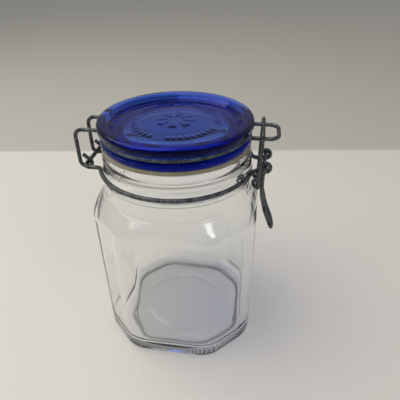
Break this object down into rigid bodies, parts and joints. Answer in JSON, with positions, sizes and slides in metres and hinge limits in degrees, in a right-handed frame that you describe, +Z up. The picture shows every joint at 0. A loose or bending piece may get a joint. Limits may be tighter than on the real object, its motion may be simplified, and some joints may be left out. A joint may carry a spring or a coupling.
{
  "type": "clip-top storage jar",
  "caption": "Square glass storage jar with a clip-down glass lid, rubber gasket and wire hinge and toggle latch.",
  "frame": {"origin": "centre of the jar's base on the plane that it stands on", "axes": "+Z up the jar, +X towards the latch, -X towards the hinge, +Y across"},
  "size_m": [0.1314, 0.1086, 0.1656],
  "materials": {
    "clear_glass": "clear pressed glass",
    "blue_glass": "cobalt blue pressed glass",
    "gasket_rubber": "tan moulded rubber, matt",
    "closure_wire": "zinc coated spring wire, dulled dark grey"
  },
  "bodies": {
    "jar": {"jar_body": "clear_glass", "neck_wire": "closure_wire"},
    "lid": {"lid_glass": "blue_glass", "gasket": "gasket_rubber", "lid_wire": "closure_wire"},
    "lever": {"latch_lever": "closure_wire"},
    "link": {"latch_link": "closure_wire"}
  },
  "joints": [
    {"name": "lid_hinge", "type": "hinge", "parent": "jar", "child": "lid", "pos_m": [-0.0585, 0, 0.1345], "axis": [0, -1, 0], "range_deg": [0, 160]},
    {"name": "lever_turn", "type": "hinge", "parent": "jar", "child": "lever", "pos_m": [0.0575, 0, 0.13745], "axis": [0, -1, 0], "range_deg": [0, 120]},
    {"name": "link_swing", "type": "hinge", "parent": "lever", "child": "link", "pos_m": [0.0535, 0, 0.124], "axis": [0, -1, 0], "range_deg": [-120, 0]}
  ],
  "couplings": [
    {"joint": "link_swing", "follows": "lever_turn", "ratio": -1}
  ]
}
